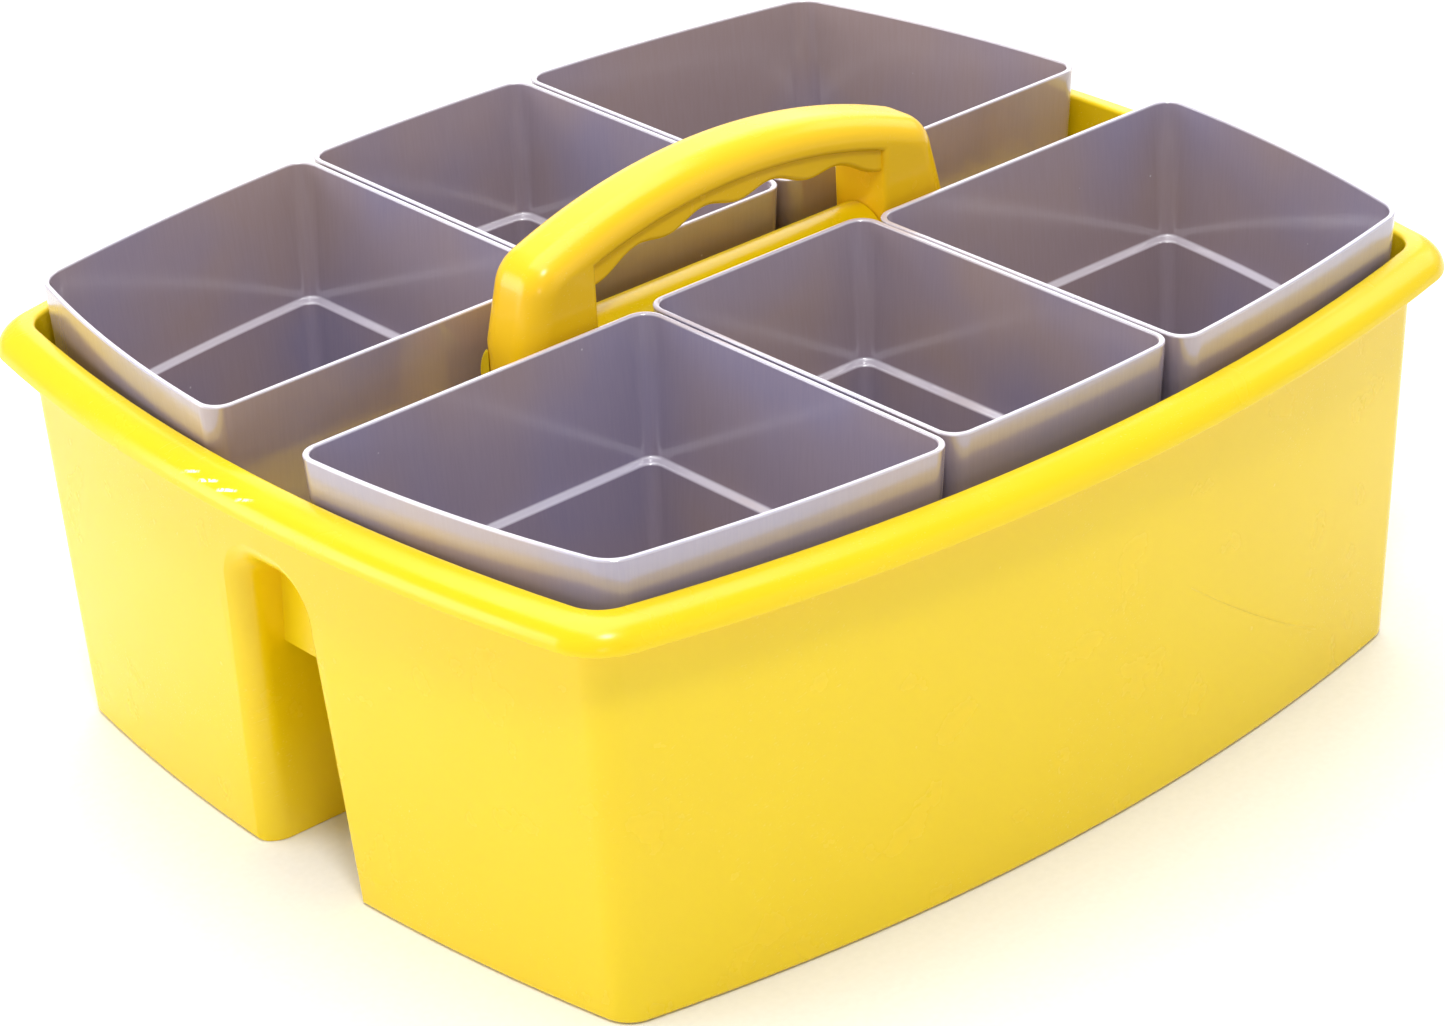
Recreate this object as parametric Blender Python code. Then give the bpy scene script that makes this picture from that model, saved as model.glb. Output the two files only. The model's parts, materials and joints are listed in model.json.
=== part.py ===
"""Cleaning caddy: a two-bin moulded tub, its clip-in carry handle and six lift-out cups.

Metres, +Z up, +X along the handle. The origin is on the floor under the middle of the tub.
"""
import math

import bmesh
import bpy
import numpy as np

# Tub: half sizes at the middle of each bowed side, as (x, y), and the bow radii of the
# sides that face +-X and +-Y.
RIM_HALF = (0.1650, 0.1455)
MOUTH_HALF = (0.1558, 0.1362)
WALL_TOP_HALF = (0.1567, 0.1371)
BASE_HALF = (0.1501, 0.1302)
MOUTH_BOW = (0.564, 0.563)
BASE_BOW = (0.603, 0.610)
MOUTH_CORNER = 0.0115
BASE_CORNER = 0.0095
RIM_TOP = 0.1181
RIM_DROP = 0.0076
RIM_ROOT = 0.0030
LIP_CORNER_SHARE = 0.75
WALL = 0.0020
FLOOR_EDGE = 0.0015

# Channel between the bins, open below and at both ends, and the webs that tie it.
CHANNEL_HALF_TOP = 0.0125
CHANNEL_HALF_BASE = 0.0178
CHANNEL_CEILING = 0.0890
CHANNEL_CORNER = 0.0080
CHANNEL_FLARE = 0.0080
BIN_CORNER_LEAST = 0.0040
CUT_PAST = 0.0100
WEB_X = 0.1400
WEB_THICKNESS = 0.0020
WEB_BOTTOM = 0.0600

# Saddle: the round-topped bar on the ridge that carries the handle.
SADDLE_HALF_LENGTH = 0.0750
SADDLE_HALF_WIDTH = 0.0105
SADDLE_TOP = 0.1245
SADDLE_SKIN = 0.0022
SADDLE_EDGE = 0.0012
CORE_HALF_LENGTH = 0.0460
SEAT_Z = 0.1120
SOCKET_BOTTOM = 0.0945

# Handle.
FOOT_INNER_X = 0.0507
FOOT_OUTER_X = 0.0753
FOOT_LEAN_Z = 0.1240
FOOT_LEAN = 0.255
SHOULDER_RADIUS = 0.0120
HANDLE_TOP = 0.1594
HANDLE_ARCH = 0.176
HANDLE_HALF_WIDTH = 0.0105
HANDLE_EDGE = 0.0075
GRIP_EDGE_Z = 0.1500
GRIP_ARCH = 0.165
GRIP_HALF_WIDTH = 0.0090
GRIP_DEPTH = 0.0054
GRIP_ROOT = 0.0030
GRIP_EDGE = 0.0016
GRIP_OVERRUN = 0.0020
FINGER_PITCH = 0.0240
FINGER_DEPTH = 0.0013
TONGUE_X = (0.0553, 0.0697)
TONGUE_HALF_WIDTH = 0.0057
TONGUE_BOTTOM = 0.0955
TONGUE_ROOT = 0.0040

# Cups: outer faces at the lip, the wall's slope, and the ledge that stacked cups rest on.
CUP_TOP = 0.1288
CUP_BOTTOM = 0.0025
CUP_WALL = 0.0015
CUP_INNER_Y = 0.0157
CUP_OUTER_Y = 0.1315
CUP_OUTER_Y_BOW = 0.629
CUP_END_X = 0.1540
CUP_END_BOW = 0.417
CUP_SPLIT_X = 0.0392
MIDDLE_CUP_HALF = 0.0388
CUP_CORNER = 0.0060
CUP_OUTER_CORNER = 0.0100
CUP_CORNER_LEAST = 0.0035
CUP_FOOT = 0.0020
CUP_LIP_EDGE = 0.0004
CUP_DRAFT = 0.0595
LEDGE_Z = 0.0890
LEDGE_WIDTH = 0.0022
LEDGE_FALL = 0.0005

# FIT_GAP is left between touching pieces; OVERLAP keeps joined or cut faces out of one plane.
FIT_GAP = 0.0003
OVERLAP = 0.0002
STRAIGHT_BOW = 50.0
SHARP_ANGLE = 35.0

# Where each loose cup has settled in its bin: column, row, shift along X, shift along Y.
CUPS = {
    "front_left_cup": (-1, -1, -0.0003, -0.0003),
    "front_middle_cup": (0, -1, 0.0001, 0.0022),
    "front_right_cup": (1, -1, 0.0, -0.0009),
    "back_left_cup": (-1, 1, -0.0005, 0.0003),
    "back_middle_cup": (0, 1, -0.0003, 0.0003),
    "back_right_cup": (1, 1, -0.0002, 0.0005),
}

YELLOW = ((0.90, 0.66, 0.02, 1.0), 0.25)
GREY = ((0.28, 0.24, 0.25, 1.0), 0.38)

NORMALS = ((1.0, 0.0), (0.0, 1.0), (-1.0, 0.0), (0.0, -1.0))


# ---------------------------------------------------------------- outlines

def side(index, reach, bow, middle=0.0):
    """Circle that carries one side: its crest is `reach` out, at `middle` along the side."""
    normal = np.array(NORMALS[index])
    along = np.array([abs(normal[1]), abs(normal[0])])
    return normal * (reach - bow) + along * middle, bow


def corner_centre(first, second, radius, outward):
    """Centre of the fillet that touches two side circles from inside."""
    (centre, bow), (next_centre, next_bow) = first, second
    gap = next_centre - centre
    length = np.hypot(*gap)
    reach, next_reach = bow - radius, next_bow - radius
    along = (reach**2 - next_reach**2 + length**2) / (2 * length)
    off = math.sqrt(reach**2 - along**2)
    unit = gap / length
    across = np.array([-unit[1], unit[0]])
    places = (centre + unit * along + across * off, centre + unit * along - across * off)
    return max(places, key=lambda place: float(place @ outward))


def arc(centre, radius, start, end, steps):
    """Points from start towards end, without the last one."""
    turn = (end - start + math.pi) % (2 * math.pi) - math.pi
    angles = start + turn * np.arange(steps) / steps
    return [(centre[0] + radius * math.cos(a), centre[1] + radius * math.sin(a)) for a in angles]


def bearing(centre, point):
    return math.atan2(point[1] - centre[1], point[0] - centre[0])


def bowed_ring(sides, radii, side_steps, corner_steps):
    """Anticlockwise outline of four bowed sides (+X, +Y, -X, -Y) joined by fillets."""
    corners = []
    for i in range(4):
        outward = np.array(NORMALS[i]) + np.array(NORMALS[(i + 1) % 4])
        corners.append(corner_centre(sides[i], sides[(i + 1) % 4], radii[i], outward))
    points = []
    for i in range(4):
        centre, bow = sides[i]
        start = bearing(centre, corners[i - 1])
        end = bearing(centre, corners[i])
        points += arc(centre, bow, start, end, side_steps[i])
        leave = bearing(sides[(i + 1) % 4][0], corners[i])
        points += arc(corners[i], radii[i], end, leave, corner_steps)
    return points


# ---------------------------------------------------------------- meshes

def new_object(name, mesh, collection):
    thing = bpy.data.objects.new(name, mesh)
    collection.objects.link(thing)
    return thing


def loft(name, rings, collection):
    """Closed solid through rings of equal point counts, with flat ends."""
    bm = bmesh.new()
    loops = [[bm.verts.new(point) for point in ring] for ring in rings]
    count = len(loops[0])
    for lower, upper in zip(loops, loops[1:]):
        for i in range(count):
            j = (i + 1) % count
            bm.faces.new((lower[i], lower[j], upper[j], upper[i]))
    bm.faces.new(reversed(loops[0]))
    bm.faces.new(loops[-1])
    bmesh.ops.recalc_face_normals(bm, faces=bm.faces)
    mesh = bpy.data.meshes.new(name)
    bm.to_mesh(mesh)
    bm.free()
    return new_object(name, mesh, collection)


def box(name, low, high, collection):
    bm = bmesh.new()
    bmesh.ops.create_cube(bm, size=1.0)
    for vert in bm.verts:
        for k in range(3):
            vert.co[k] = low[k] if vert.co[k] < 0 else high[k]
    mesh = bpy.data.meshes.new(name)
    bm.to_mesh(mesh)
    bm.free()
    return new_object(name, mesh, collection)


def as_cutter(thing):
    thing.hide_render = True
    thing.display_type = "WIRE"
    return thing


def boolean(target, operand, operation):
    modifier = target.modifiers.new(operand.name, "BOOLEAN")
    modifier.operation = operation
    modifier.solver = "EXACT"
    modifier.object = operand


def bake(thing):
    """Applies the modifiers by taking the evaluated mesh."""
    graph = bpy.context.evaluated_depsgraph_get()
    mesh = bpy.data.meshes.new_from_object(thing.evaluated_get(graph))
    thing.modifiers.clear()
    thing.data = mesh


def finish(thing, look):
    """Gives a part its own plastic, smooth faces and sharp folds."""
    colour, roughness = look
    material = bpy.data.materials.new(thing.name + "_plastic")
    material.use_nodes = True
    shader = material.node_tree.nodes["Principled BSDF"]
    shader.inputs["Base Color"].default_value = colour
    shader.inputs["Roughness"].default_value = roughness
    thing.data.materials.clear()
    thing.data.materials.append(material)
    thing.data.shade_smooth()
    thing.data.set_sharp_from_angle(angle=math.radians(SHARP_ANGLE))


# ---------------------------------------------------------------- tub

def tub_ring(half, bow, corner, z, inset=0.0):
    sides = [side(i, half[i % 2] - inset, bow[i % 2] - inset) for i in range(4)]
    points = bowed_ring(sides, [corner - inset] * 4, (8, 10, 8, 10), 4)
    return [(x, y, z) for x, y in points]


def wall_values(z):
    """Half sizes, bows and corner of the outer wall at height z."""
    t = z / RIM_TOP
    blend = lambda low, high: low + (high - low) * t
    half = [blend(BASE_HALF[i], WALL_TOP_HALF[i]) for i in (0, 1)]
    bow = [blend(BASE_BOW[i], MOUTH_BOW[i]) for i in (0, 1)]
    return half, bow, blend(BASE_CORNER, MOUTH_CORNER)


def wall_ring(z, inset=0.0):
    return tub_ring(*wall_values(z), z, inset)


def rim_ring(angle, skin=0.0):
    """Ring on the rim's rolled top: 0 is the crest and a right angle is the lip."""
    out = (RIM_HALF[0] - MOUTH_HALF[0] - skin) * math.sin(angle)
    z = RIM_TOP - RIM_DROP + (RIM_DROP - skin) * math.cos(angle)
    half = [size + out for size in MOUTH_HALF]
    bow = [size + out for size in MOUTH_BOW]
    return tub_ring(half, bow, MOUTH_CORNER + LIP_CORNER_SHARE * out, z)


def tub_shell(collection):
    quarter = [math.radians(a) for a in (0, 20, 40, 60, 78, 90)]
    rings = [wall_ring(0.0, FLOOR_EDGE), wall_ring(0.3 * FLOOR_EDGE, 0.3 * FLOOR_EDGE)]
    rings += [wall_ring(z) for z in (FLOOR_EDGE, 0.5 * RIM_TOP, RIM_TOP - RIM_ROOT)]
    rings += [rim_ring(angle, WALL) for angle in quarter[2:]]
    rings += [rim_ring(angle) for angle in reversed(quarter)]
    return loft("tub", rings, collection)


def mouth_cutter(collection):
    """Open top over both bins, with a cove where the ridge meets the end walls."""
    ridge_top = CHANNEL_CEILING + WALL
    cove = CHANNEL_FLARE - WALL
    rings = []
    for angle in (0, 30, 60, 90):
        a = math.radians(angle)
        z = ridge_top + cove * (1 - math.cos(a))
        rings.append(wall_ring(z, WALL + cove * (1 - math.sin(a))))
    rings.append(wall_ring(RIM_TOP - WALL, WALL))
    mouth = (MOUTH_HALF, MOUTH_BOW, MOUTH_CORNER)
    rings.append(tub_ring(*mouth, RIM_TOP - OVERLAP, OVERLAP))
    rings.append(tub_ring(*mouth, RIM_TOP + CUT_PAST))
    return as_cutter(loft("mouth_cutter", rings, collection))


def channel_half(z):
    t = z / CHANNEL_CEILING
    return CHANNEL_HALF_BASE + (CHANNEL_HALF_TOP - CHANNEL_HALF_BASE) * t


def bin_ring(row, z, inset, ridge_inset=0.0):
    """Inside of one bin: three bowed tub walls and the straight wall along the channel."""
    half, bow, corner = wall_values(z)
    inset += WALL + OVERLAP
    sides = [side(i, half[i % 2] - inset, bow[i % 2] - inset) for i in range(4)]
    ridge = 1 if row < 0 else 3
    reach = -(channel_half(z) + inset - ridge_inset)
    sides[ridge] = side(ridge, reach, STRAIGHT_BOW)
    outer = max(corner - inset, BIN_CORNER_LEAST)
    inner = CHANNEL_FLARE - WALL
    radii = [inner, inner, outer, outer] if row < 0 else [outer, outer, inner, inner]
    steps = (6, 2, 6, 10) if row < 0 else (6, 10, 6, 2)
    return [(x, y, z) for x, y in bowed_ring(sides, radii, steps, 4)]


def bin_cutter(row, collection):
    top = CHANNEL_CEILING + WALL
    name = "front_bin_cutter" if row < 0 else "back_bin_cutter"
    rings = [
        bin_ring(row, WALL + OVERLAP, FLOOR_EDGE),
        bin_ring(row, WALL + 0.3 * FLOOR_EDGE, 0.3 * FLOOR_EDGE),
        bin_ring(row, WALL + FLOOR_EDGE, 0.0),
        bin_ring(row, top - WALL, 0.0),
        bin_ring(row, top + OVERLAP, 0.0, WALL),
        bin_ring(row, top + CHANNEL_FLARE, 0.0, WALL),
    ]
    return as_cutter(loft(name, rings, collection))


def channel_section():
    """Arch section from the open bottom up and over: (y, z, outward y, outward z)."""
    section = [(channel_half(-CUT_PAST), -CUT_PAST, 1.0, 0.0)]
    shoulder = CHANNEL_CEILING - CHANNEL_CORNER
    for angle in (0, 22.5, 45, 67.5, 90):
        a = math.radians(angle)
        y = CHANNEL_HALF_TOP - CHANNEL_CORNER * (1 - math.cos(a))
        z = shoulder + CHANNEL_CORNER * math.sin(a)
        section.append((y, z, math.cos(a), math.sin(a)))
    return section + [(-y, z, -ny, nz) for y, z, ny, nz in reversed(section)]


def channel_cutter(collection):
    """The channel, its two mouths flared to round the edges into the end walls."""
    stations = [(0.0, 1.0, CUT_PAST)]
    for angle in np.radians((90, 70, 50, 30, 12, 0)):
        stations.append((1 - math.sin(angle), 1 - math.cos(angle), 0.0))
    rings = []
    for end in (-1, 1):
        halves = []
        for back, flare, beyond in stations:
            ring = []
            for y, z, ny, nz in channel_section():
                spread = CHANNEL_FLARE * flare
                wall_x = wall_values(max(z, 0.0))[0][0]
                x = end * (wall_x + beyond - CHANNEL_FLARE * back)
                ring.append((x, y + ny * spread, z + nz * spread))
            halves.append(ring)
        rings += halves if end < 0 else list(reversed(halves))
    return as_cutter(loft("channel_cutter", rings, collection))


def web(end, collection):
    half = channel_half(WEB_BOTTOM) + 0.5 * WALL
    low = (end * WEB_X - 0.5 * WEB_THICKNESS, -half, WEB_BOTTOM)
    high = (end * WEB_X + 0.5 * WEB_THICKNESS, half, CHANNEL_CEILING + 0.5 * WALL)
    plate = box("left_web" if end < 0 else "right_web", low, high, collection)
    for vert in plate.data.vertices:
        if vert.co.z > WEB_BOTTOM + WALL:
            vert.co.y = math.copysign(channel_half(CHANNEL_CEILING) + 0.5 * WALL, vert.co.y)
    return as_cutter(plate)


def round_bar(name, half_length, half_width, bottom, top, end_radius, collection):
    """Upright bar with a full-round top, laid along X, its four upright edges rounded."""
    bm = bmesh.new()
    centre = top - half_width
    outline = [(half_width, bottom)]
    outline += [(half_width * math.cos(a), centre + half_width * math.sin(a))
                for a in np.linspace(0.0, math.pi, 13)]
    outline.append((-half_width, bottom))
    face = bm.faces.new([bm.verts.new((-half_length, y, z)) for y, z in outline])
    moved = bmesh.ops.extrude_face_region(bm, geom=[face])["geom"]
    ends = [item for item in moved if isinstance(item, bmesh.types.BMVert)]
    bmesh.ops.translate(bm, verts=ends, vec=(2 * half_length, 0.0, 0.0))
    bmesh.ops.recalc_face_normals(bm, faces=bm.faces)
    if end_radius:
        rims = [edge for edge in bm.edges
                if abs(edge.verts[0].co.x - edge.verts[1].co.x) < 1e-6
                and max(vert.co.z for vert in edge.verts) > bottom + 1e-6]
        bmesh.ops.bevel(bm, geom=rims, offset=end_radius, segments=3, profile=0.5, affect="EDGES")
    mesh = bpy.data.meshes.new(name)
    bm.to_mesh(mesh)
    bm.free()
    return as_cutter(new_object(name, mesh, collection))


def seat_cutter(name, end, collection):
    """Seat for one foot: square towards the hand gap, rounded like the foot at its outer end."""
    radius = HANDLE_EDGE + FIT_GAP
    half = HANDLE_HALF_WIDTH + FIT_GAP
    inner = FOOT_INNER_X - FIT_GAP
    centre = FOOT_OUTER_X + FIT_GAP - radius
    outline = [(inner, -half)]
    outline += arc((centre, radius - half), radius, -0.5 * math.pi, 0.0, 4)
    outline.append((centre + radius, radius - half))
    outline += arc((centre, half - radius), radius, 0.0, 0.5 * math.pi, 4)
    outline += [(centre, half), (inner, half)]
    if end < 0:
        outline = [(-x, y) for x, y in reversed(outline)]
    top = SADDLE_TOP + CUT_PAST
    rings = [[(x, y, z) for x, y in outline] for z in (SEAT_Z, top)]
    return as_cutter(loft(name + "_seat_cutter", rings, collection))


def make_tub(parts, cutters):
    tub = tub_shell(parts)
    boolean(tub, mouth_cutter(cutters), "DIFFERENCE")
    for row in (-1, 1):
        boolean(tub, bin_cutter(row, cutters), "DIFFERENCE")
    boolean(tub, channel_cutter(cutters), "DIFFERENCE")
    for end in (-1, 1):
        boolean(tub, web(end, cutters), "UNION")
    bar_bottom = CHANNEL_CEILING + 0.5 * WALL
    saddle = round_bar("saddle", SADDLE_HALF_LENGTH, SADDLE_HALF_WIDTH, bar_bottom,
                       SADDLE_TOP, SADDLE_EDGE, cutters)
    boolean(tub, saddle, "UNION")
    core = round_bar("saddle_core", CORE_HALF_LENGTH, SADDLE_HALF_WIDTH - SADDLE_SKIN,
                     CHANNEL_CEILING - WALL, SADDLE_TOP - SADDLE_SKIN, 0.0, cutters)
    boolean(tub, core, "DIFFERENCE")
    for end in (-1, 1):
        name = "left" if end < 0 else "right"
        boolean(tub, seat_cutter(name, end, cutters), "DIFFERENCE")
        xs = sorted((end * (TONGUE_X[0] - FIT_GAP), end * (TONGUE_X[1] + FIT_GAP)))
        half = TONGUE_HALF_WIDTH + FIT_GAP
        socket = box(name + "_socket_cutter", (xs[0], -half, SOCKET_BOTTOM),
                     (xs[1], half, SEAT_Z + WALL), cutters)
        boolean(tub, as_cutter(socket), "DIFFERENCE")
    bake(tub)
    finish(tub, YELLOW)


# ---------------------------------------------------------------- handle

def arch_z(x, crown, radius):
    return crown - radius + math.sqrt(radius**2 - x**2)


def shoulder_points():
    """Fillet between the leaning end of a foot and the arched top of the handle."""
    lean = math.atan(FOOT_LEAN)
    normal = np.array([math.cos(lean), math.sin(lean)])
    start = np.array([FOOT_OUTER_X, FOOT_LEAN_Z]) - normal * SHOULDER_RADIUS
    along = np.array([-math.sin(lean), math.cos(lean)])
    arch_centre = np.array([0.0, HANDLE_TOP - HANDLE_ARCH])
    reach = HANDLE_ARCH - SHOULDER_RADIUS
    offset = start - arch_centre
    half_b = float(offset @ along)
    distance = -half_b + math.sqrt(half_b**2 - float(offset @ offset) + reach**2)
    centre = start + along * distance
    top = math.atan2(centre[1] - arch_centre[1], centre[0])
    return [(centre[0] + SHOULDER_RADIUS * math.cos(a), centre[1] + SHOULDER_RADIUS * math.sin(a))
            for a in np.linspace(lean, top, 6)]


def handle_profile():
    """Side view of the handle from the left seat up, over and down, then back under."""
    right = [(FOOT_OUTER_X, SEAT_Z + FIT_GAP), (FOOT_OUTER_X, FOOT_LEAN_Z)] + shoulder_points()
    end_x = right[-1][0]
    right += [(x, arch_z(x, HANDLE_TOP, HANDLE_ARCH)) for x in np.linspace(end_x, 0.0, 9)[1:]]
    under = [(x, arch_z(x, GRIP_EDGE_Z, GRIP_ARCH)) for x in np.linspace(FOOT_INNER_X, 0.0, 7)]
    inner = [(FOOT_INNER_X, SEAT_Z + FIT_GAP)] + under
    outer = right + [(-x, z) for x, z in reversed(right[:-1])]
    lower = [(-x, z) for x, z in inner[:-1]] + list(reversed(inner))
    return outer, lower


def extrude_profile(name, points, half_width, collection):
    bm = bmesh.new()
    face = bm.faces.new([bm.verts.new((x, -half_width, z)) for x, z in points])
    moved = bmesh.ops.extrude_face_region(bm, geom=[face])["geom"]
    ends = [item for item in moved if isinstance(item, bmesh.types.BMVert)]
    bmesh.ops.translate(bm, verts=ends, vec=(0.0, 2 * half_width, 0.0))
    bmesh.ops.recalc_face_normals(bm, faces=bm.faces)
    mesh = bpy.data.meshes.new(name)
    bm.to_mesh(mesh)
    bm.free()
    return new_object(name, mesh, collection)


def round_outer_edges(thing, outer, width, segments):
    """Rounds the two long edge loops that follow the outer outline."""
    places = {(round(x, 6), round(z, 6)) for x, z in outer}
    bm = bmesh.new()
    bm.from_mesh(thing.data)
    chosen = []
    for edge in bm.edges:
        ends = [(round(v.co.x, 6), round(v.co.z, 6)) for v in edge.verts]
        level = abs(edge.verts[0].co.y - edge.verts[1].co.y) < 1e-6
        if level and ends[0] in places and ends[1] in places:
            chosen.append(edge)
    bmesh.ops.bevel(bm, geom=chosen, offset=width, segments=segments, profile=0.5,
                    affect="EDGES", clamp_overlap=True)
    bm.to_mesh(thing.data)
    bm.free()


def grip_profile():
    """Side view of the finger grip: an arch whose underside has a row of shallow grooves."""
    x_end = FOOT_INNER_X + GRIP_OVERRUN
    root_z = GRIP_EDGE_Z + GRIP_ROOT
    top = [(x, arch_z(x, root_z, GRIP_ARCH)) for x in np.linspace(-x_end, x_end, 13)]
    low = []
    for x in np.linspace(x_end, -x_end, 37):
        wave = FINGER_DEPTH * math.cos(2 * math.pi * x / FINGER_PITCH)
        low.append((x, arch_z(x, GRIP_EDGE_Z, GRIP_ARCH) - GRIP_DEPTH - wave))
    return top + low, low


def make_handle(parts, cutters):
    outer, lower = handle_profile()
    handle = extrude_profile("handle", outer + lower, HANDLE_HALF_WIDTH, parts)
    round_outer_edges(handle, outer, HANDLE_EDGE, 4)
    points, low = grip_profile()
    grip = as_cutter(extrude_profile("finger_grip", points, GRIP_HALF_WIDTH, cutters))
    round_outer_edges(grip, low, GRIP_EDGE, 2)
    boolean(handle, grip, "UNION")
    for end in (-1, 1):
        xs = sorted((end * TONGUE_X[0], end * TONGUE_X[1]))
        tongue = box("left_tongue" if end < 0 else "right_tongue",
                     (xs[0], -TONGUE_HALF_WIDTH, TONGUE_BOTTOM),
                     (xs[1], TONGUE_HALF_WIDTH, SEAT_Z + TONGUE_ROOT), cutters)
        boolean(handle, as_cutter(tongue), "UNION")
    bake(handle)
    finish(handle, YELLOW)


# ---------------------------------------------------------------- cups

def cup_ring(column, row, z, inset):
    """Outline of a cup at height z, drawn in by `inset` from its drafted outer face."""
    inset += CUP_DRAFT * (CUP_TOP - z)
    outer = (side(1 if row > 0 else 3, CUP_OUTER_Y - inset, CUP_OUTER_Y_BOW - inset))
    inner = side(3 if row > 0 else 1, -(CUP_INNER_Y + inset), STRAIGHT_BOW)
    if column == 0:
        right = side(0, MIDDLE_CUP_HALF - inset, STRAIGHT_BOW)
        left = side(2, MIDDLE_CUP_HALF - inset, STRAIGHT_BOW)
        x_steps = (2, 2)
    else:
        end = side(0 if column > 0 else 2, CUP_END_X - inset, CUP_END_BOW - inset)
        split = side(2 if column > 0 else 0, -(CUP_SPLIT_X + inset), STRAIGHT_BOW)
        right, left = (end, split) if column > 0 else (split, end)
        x_steps = (6, 2) if column > 0 else (2, 6)
    sides = [right, outer, left, inner] if row > 0 else [right, inner, left, outer]
    y_steps = (5, 2) if row > 0 else (2, 5)
    steps = (x_steps[0], y_steps[0], x_steps[1], y_steps[1])
    radii = [max(CUP_CORNER - 0.5 * inset, CUP_CORNER_LEAST)] * 4
    if column:
        outer_corner = {(1, 1): 0, (-1, 1): 1, (-1, -1): 2, (1, -1): 3}[column, row]
        radii[outer_corner] = max(CUP_OUTER_CORNER - 0.5 * inset, CUP_CORNER_LEAST)
    return bowed_ring(sides, radii, steps, 4)


def cup_stations():
    """Heights and insets of a cup's section: up the outside, over the lip, down the inside."""
    inner_floor = CUP_BOTTOM + CUP_WALL
    ledge_foot = LEDGE_Z - LEDGE_FALL
    return [
        (CUP_BOTTOM, LEDGE_WIDTH + CUP_FOOT),
        (CUP_BOTTOM + CUP_FOOT, LEDGE_WIDTH),
        (ledge_foot - CUP_WALL, LEDGE_WIDTH),
        (LEDGE_Z - CUP_WALL, 0.0),
        (CUP_TOP - CUP_LIP_EDGE, 0.0),
        (CUP_TOP, CUP_LIP_EDGE),
        (CUP_TOP, CUP_WALL - CUP_LIP_EDGE),
        (CUP_TOP - CUP_LIP_EDGE, CUP_WALL),
        (LEDGE_Z, CUP_WALL),
        (ledge_foot, LEDGE_WIDTH + CUP_WALL),
        (inner_floor + CUP_FOOT, LEDGE_WIDTH + CUP_WALL),
        (inner_floor, LEDGE_WIDTH + CUP_WALL + CUP_FOOT),
    ]


def make_cup(name, column, row, shift_x, shift_y, parts):
    """One lift-out cup, with its origin on the line that it is lifted along."""
    middle_x = column * 0.5 * (CUP_SPLIT_X + CUP_END_X)
    middle_y = row * 0.5 * (CUP_INNER_Y + CUP_OUTER_Y)
    rings = []
    for z, inset in cup_stations():
        ring = cup_ring(column, row, z, inset)
        rings.append([(x - middle_x, y - middle_y, z - CUP_BOTTOM) for x, y in ring])
    cup = loft(name, rings, parts)
    cup.location = (middle_x + shift_x, middle_y + shift_y, CUP_BOTTOM)
    finish(cup, GREY)


# ---------------------------------------------------------------- caddy

def main():
    for thing in list(bpy.data.objects):
        bpy.data.objects.remove(thing)
    parts = bpy.data.collections.new("cleaning_caddy")
    cutters = bpy.data.collections.new("cutters")
    for collection in (parts, cutters):
        bpy.context.scene.collection.children.link(collection)
    make_tub(parts, cutters)
    make_handle(parts, cutters)
    for name, (column, row, shift_x, shift_y) in CUPS.items():
        make_cup(name, column, row, shift_x, shift_y, parts)


main()
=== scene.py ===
import json
import math

import bmesh
import bpy
from mathutils import Matrix, Vector

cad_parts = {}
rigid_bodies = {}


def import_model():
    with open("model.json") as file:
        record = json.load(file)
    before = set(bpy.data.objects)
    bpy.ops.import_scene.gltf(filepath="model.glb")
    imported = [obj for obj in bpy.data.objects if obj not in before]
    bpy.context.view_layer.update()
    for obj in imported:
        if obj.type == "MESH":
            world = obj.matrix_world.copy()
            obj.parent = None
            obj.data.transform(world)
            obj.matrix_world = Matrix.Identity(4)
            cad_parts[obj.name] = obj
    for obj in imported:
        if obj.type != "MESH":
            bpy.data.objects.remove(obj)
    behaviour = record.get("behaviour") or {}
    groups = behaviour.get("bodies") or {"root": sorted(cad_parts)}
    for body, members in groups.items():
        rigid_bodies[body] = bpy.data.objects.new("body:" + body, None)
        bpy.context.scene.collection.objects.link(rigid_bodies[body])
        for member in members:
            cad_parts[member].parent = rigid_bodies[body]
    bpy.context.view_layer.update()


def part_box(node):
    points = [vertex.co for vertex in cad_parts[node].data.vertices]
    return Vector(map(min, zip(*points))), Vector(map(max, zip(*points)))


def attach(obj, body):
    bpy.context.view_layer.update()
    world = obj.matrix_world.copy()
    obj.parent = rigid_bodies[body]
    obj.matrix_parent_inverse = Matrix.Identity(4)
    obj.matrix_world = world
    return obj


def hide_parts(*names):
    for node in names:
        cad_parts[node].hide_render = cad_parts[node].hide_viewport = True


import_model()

# A two-bin cleaning caddy: the moulded tub, its clip-in handle and six lift-out cups.
# Metres, +Z up, +X along the handle. Every shape starts as one point that is swung round
# arcs into an outline, and outlines are bridged into walls, as a mould maker draws them.

# ---------------------------------------------------------------- sizes

# Tub: half sizes at the middle of the bowed sides (X, Y), and the bow radii of those sides.
RIM_HALF = (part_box("tub")[1].x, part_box("tub")[1].y)
MOUTH_HALF = (0.1558, 0.1362)
WALL_TOP_HALF = (0.1567, 0.1371)
BASE_HALF = (0.1501, 0.1302)
MOUTH_BOW = (0.564, 0.563)
BASE_BOW = (0.603, 0.610)
MOUTH_CORNER = 0.0115
BASE_CORNER = 0.0095
RIM_TOP = 0.1181
RIM_DROP = 0.0076
RIM_UNDERCUT = 0.0016
LIP_EDGE = 0.0005
LIP_CORNER_SHARE = 0.75
WALL = 0.0020
FLOOR_EDGE = 0.0015

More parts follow.
